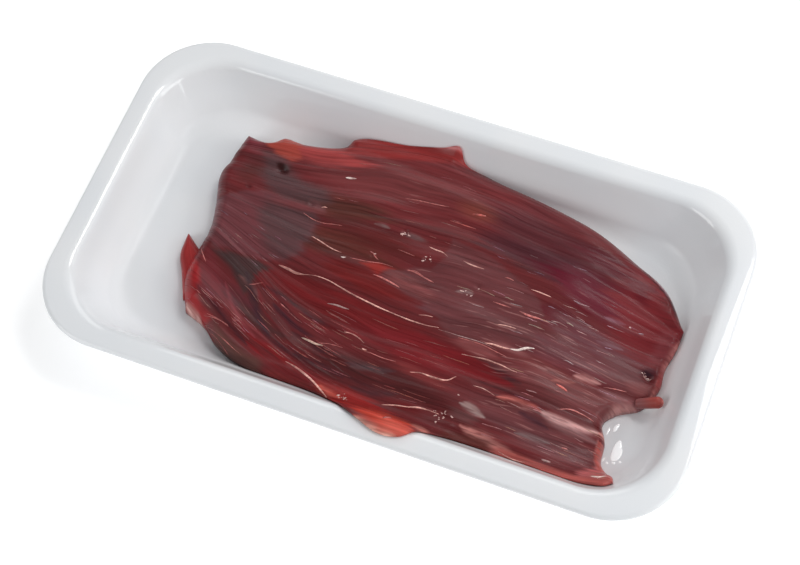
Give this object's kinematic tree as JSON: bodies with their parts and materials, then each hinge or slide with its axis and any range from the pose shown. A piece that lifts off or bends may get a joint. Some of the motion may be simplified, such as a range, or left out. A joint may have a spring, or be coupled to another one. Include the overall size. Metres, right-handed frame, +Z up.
{
  "type": "raw beef slab on foam tray",
  "caption": "Slab of raw red beef with long muscle fibres, lying in an open white foam tray with a flat rim, sloping walls and rounded corners.",
  "frame": {"origin": "middle of the tray's flat base, on the surface that it stands on", "axes": "+Z up; +X along the tray's long side, which is also the way that the meat's fibres run; +Y across it, to the far side in the picture"},
  "size_m": [0.27, 0.152, 0.0299],
  "materials": {
    "foam": "smooth white polystyrene foam skin, softly glossy",
    "raw_beef": "wet dark red muscle with long fine fibres, cream strands and bluish grey patches"
  },
  "bodies": {
    "root": {"tray": "foam", "meat": "raw_beef"}
  },
  "joints": []
}
